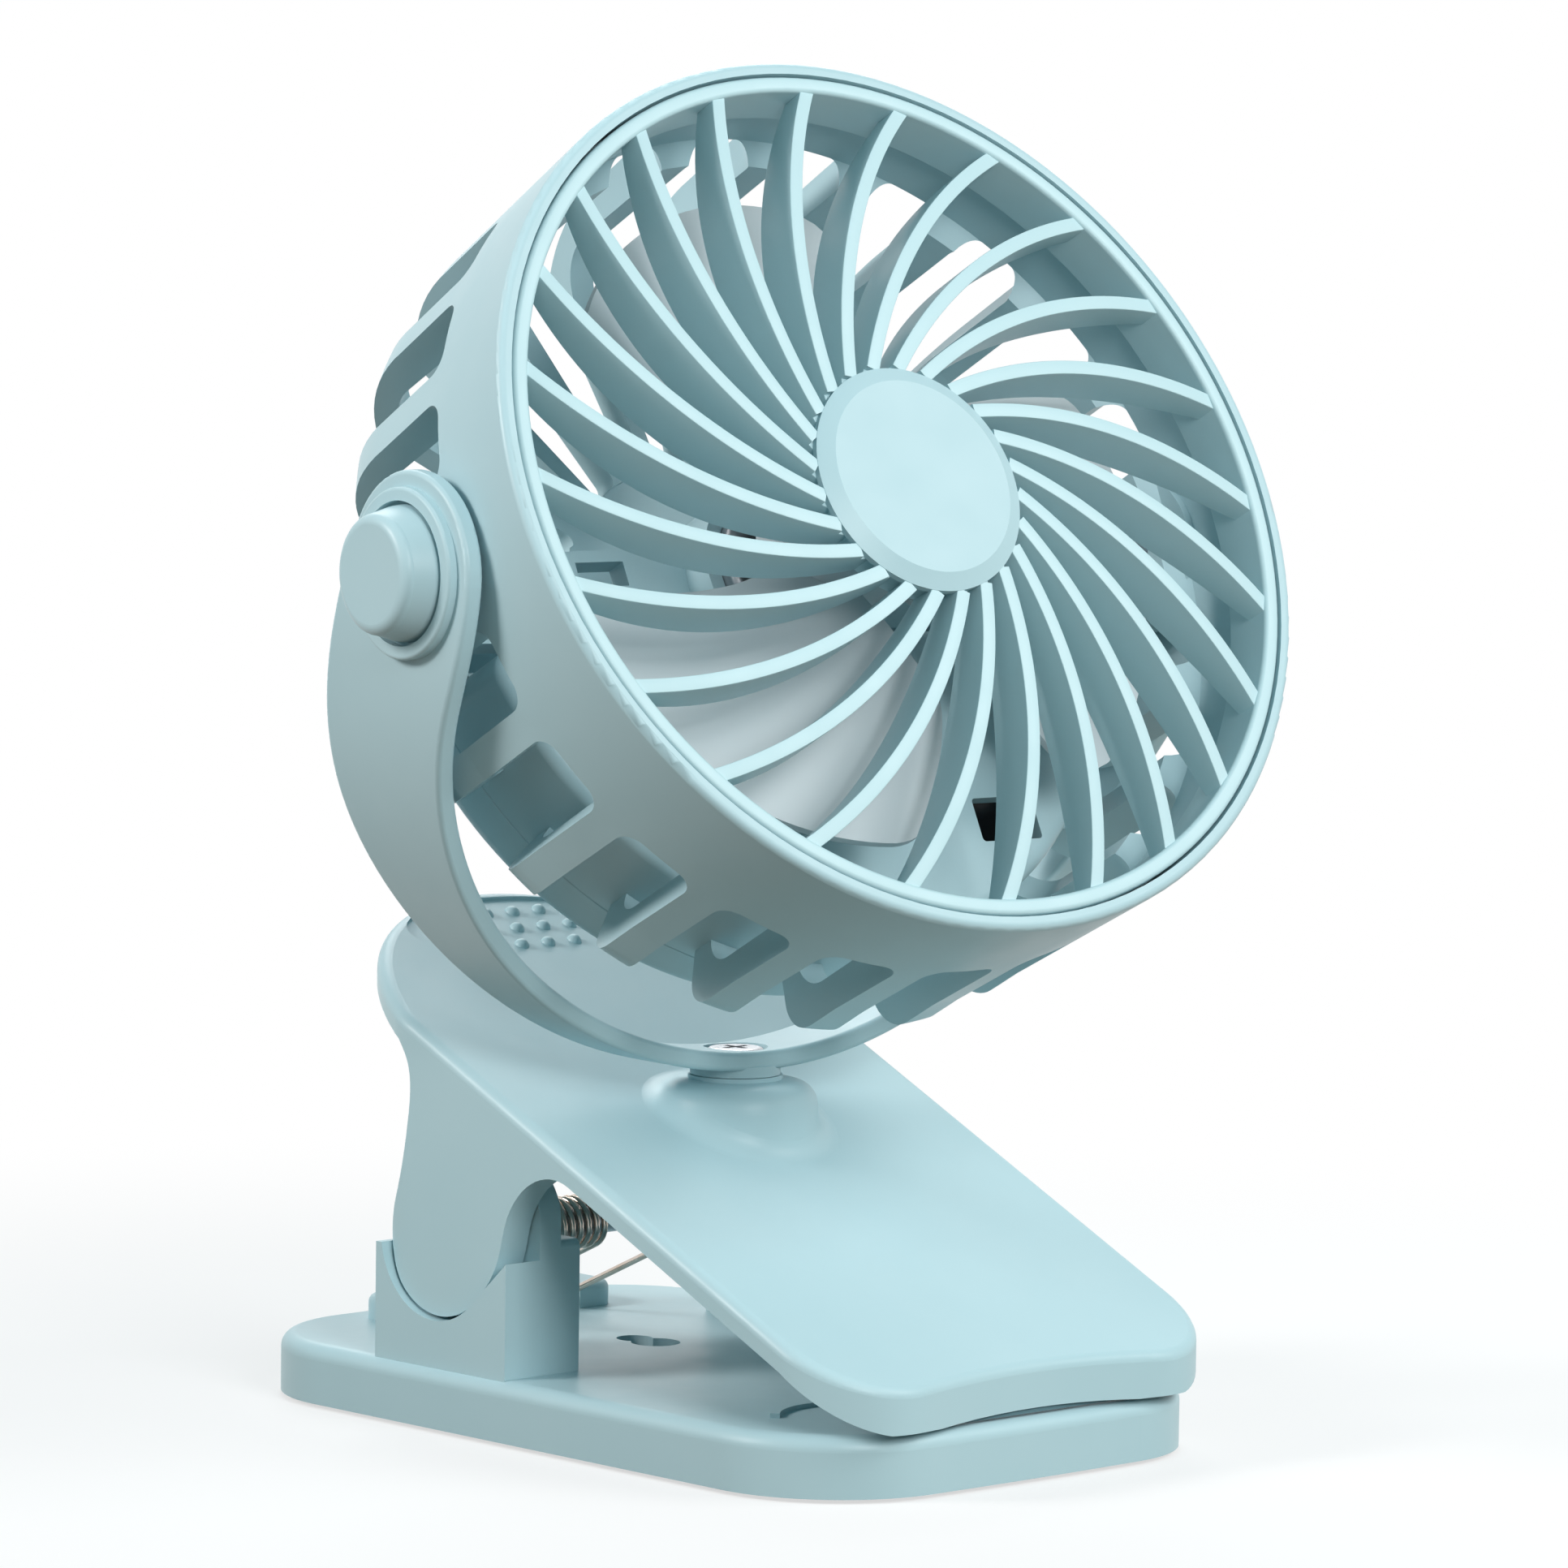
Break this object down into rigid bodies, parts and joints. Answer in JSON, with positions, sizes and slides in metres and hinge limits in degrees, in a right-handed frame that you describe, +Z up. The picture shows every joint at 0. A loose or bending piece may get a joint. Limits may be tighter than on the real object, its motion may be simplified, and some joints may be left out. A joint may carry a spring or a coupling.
{
  "type": "clip fan",
  "caption": "Small rechargeable clip fan: a round ribbed fan head tilts in a U-shaped yoke, which swivels on a sprung clip whose lower jaw is also a flat foot.",
  "frame": {"origin": "on the surface that the base stands on, under the middle of the base plate", "axes": "+Z up, -Y towards the front edge of the base and lever, +X to the right seen from the front"},
  "size_m": [0.1462, 0.1299, 0.1885],
  "materials": {
    "mint_plastic": "satin moulded plastic, pale mint blue",
    "grey_plastic": "satin moulded plastic, light grey",
    "steel": "plain bright zinc plated steel",
    "spring_steel": "bright drawn wire",
    "motor_steel": "drawn steel can",
    "rubber": "soft matte rubber, teal grey",
    "black_plastic": "black moulded plastic",
    "cell_wrap": "plain shrink sleeve",
    "contact_metal": "plated spring sheet",
    "board": "green board with solder mask",
    "light_pipe": "milky clear plastic"
  },
  "bodies": {
    "base": {"base_plate": "mint_plastic", "base_cover": "mint_plastic", "base_screws": "steel", "foot_pads": "rubber", "hinge_pin": "steel", "clip_spring": "spring_steel"},
    "lever": {"lever": "mint_plastic", "lever_pad": "rubber", "swivel_washer": "mint_plastic", "swivel_screw": "steel", "swivel_nut_washer": "steel", "swivel_nut": "steel"},
    "yoke": {"yoke": "mint_plastic"},
    "head": {"head_housing": "mint_plastic", "front_grille": "mint_plastic", "hub_cap": "mint_plastic", "motor": "motor_steel", "pivot_knob_left": "mint_plastic", "pivot_knob_right": "mint_plastic", "pivot_screws": "steel", "rear_cover": "mint_plastic", "cover_screws": "steel", "battery_cell": "cell_wrap", "battery_contacts": "contact_metal", "circuit_board": "board", "tact_switch": "black_plastic", "usb_socket": "steel", "status_light": "light_pipe"},
    "impeller": {"impeller": "grey_plastic", "motor_shaft": "steel"},
    "button": {"power_button": "grey_plastic"}
  },
  "joints": [
    {"name": "clip_hinge", "type": "hinge", "parent": "base", "child": "lever", "pos_m": [0, 0.018, 0.0268], "axis": [-1, 0, 0], "range_deg": [0, 30], "stiffness_Nm_per_rad": 0.55, "springref_deg": -34.38, "deforming": ["clip_spring"]},
    {"name": "swivel", "type": "hinge", "parent": "lever", "child": "yoke", "pos_m": [0, -0.0015, 0.0507], "axis": [0, 0, 1], "range_deg": [-34, 45]},
    {"name": "head_tilt", "type": "hinge", "parent": "yoke", "child": "head", "pos_m": [-0.00153, -0.01682, 0.1211], "axis": [-0.9951, 0.0993, 0], "range_deg": [-47, 62]},
    {"name": "impeller_spin", "type": "hinge", "parent": "head", "child": "impeller", "pos_m": [-0.00153, -0.01682, 0.1211], "axis": [-0.0881, -0.8826, 0.4617], "continuous": true},
    {"name": "power_button", "type": "slide", "parent": "head", "child": "button", "axis": [-0.0881, -0.8826, 0.4617], "range_m": [0, 0.0005], "stiffness_N_per_m": 2000, "springref_m": -0.0003}
  ]
}
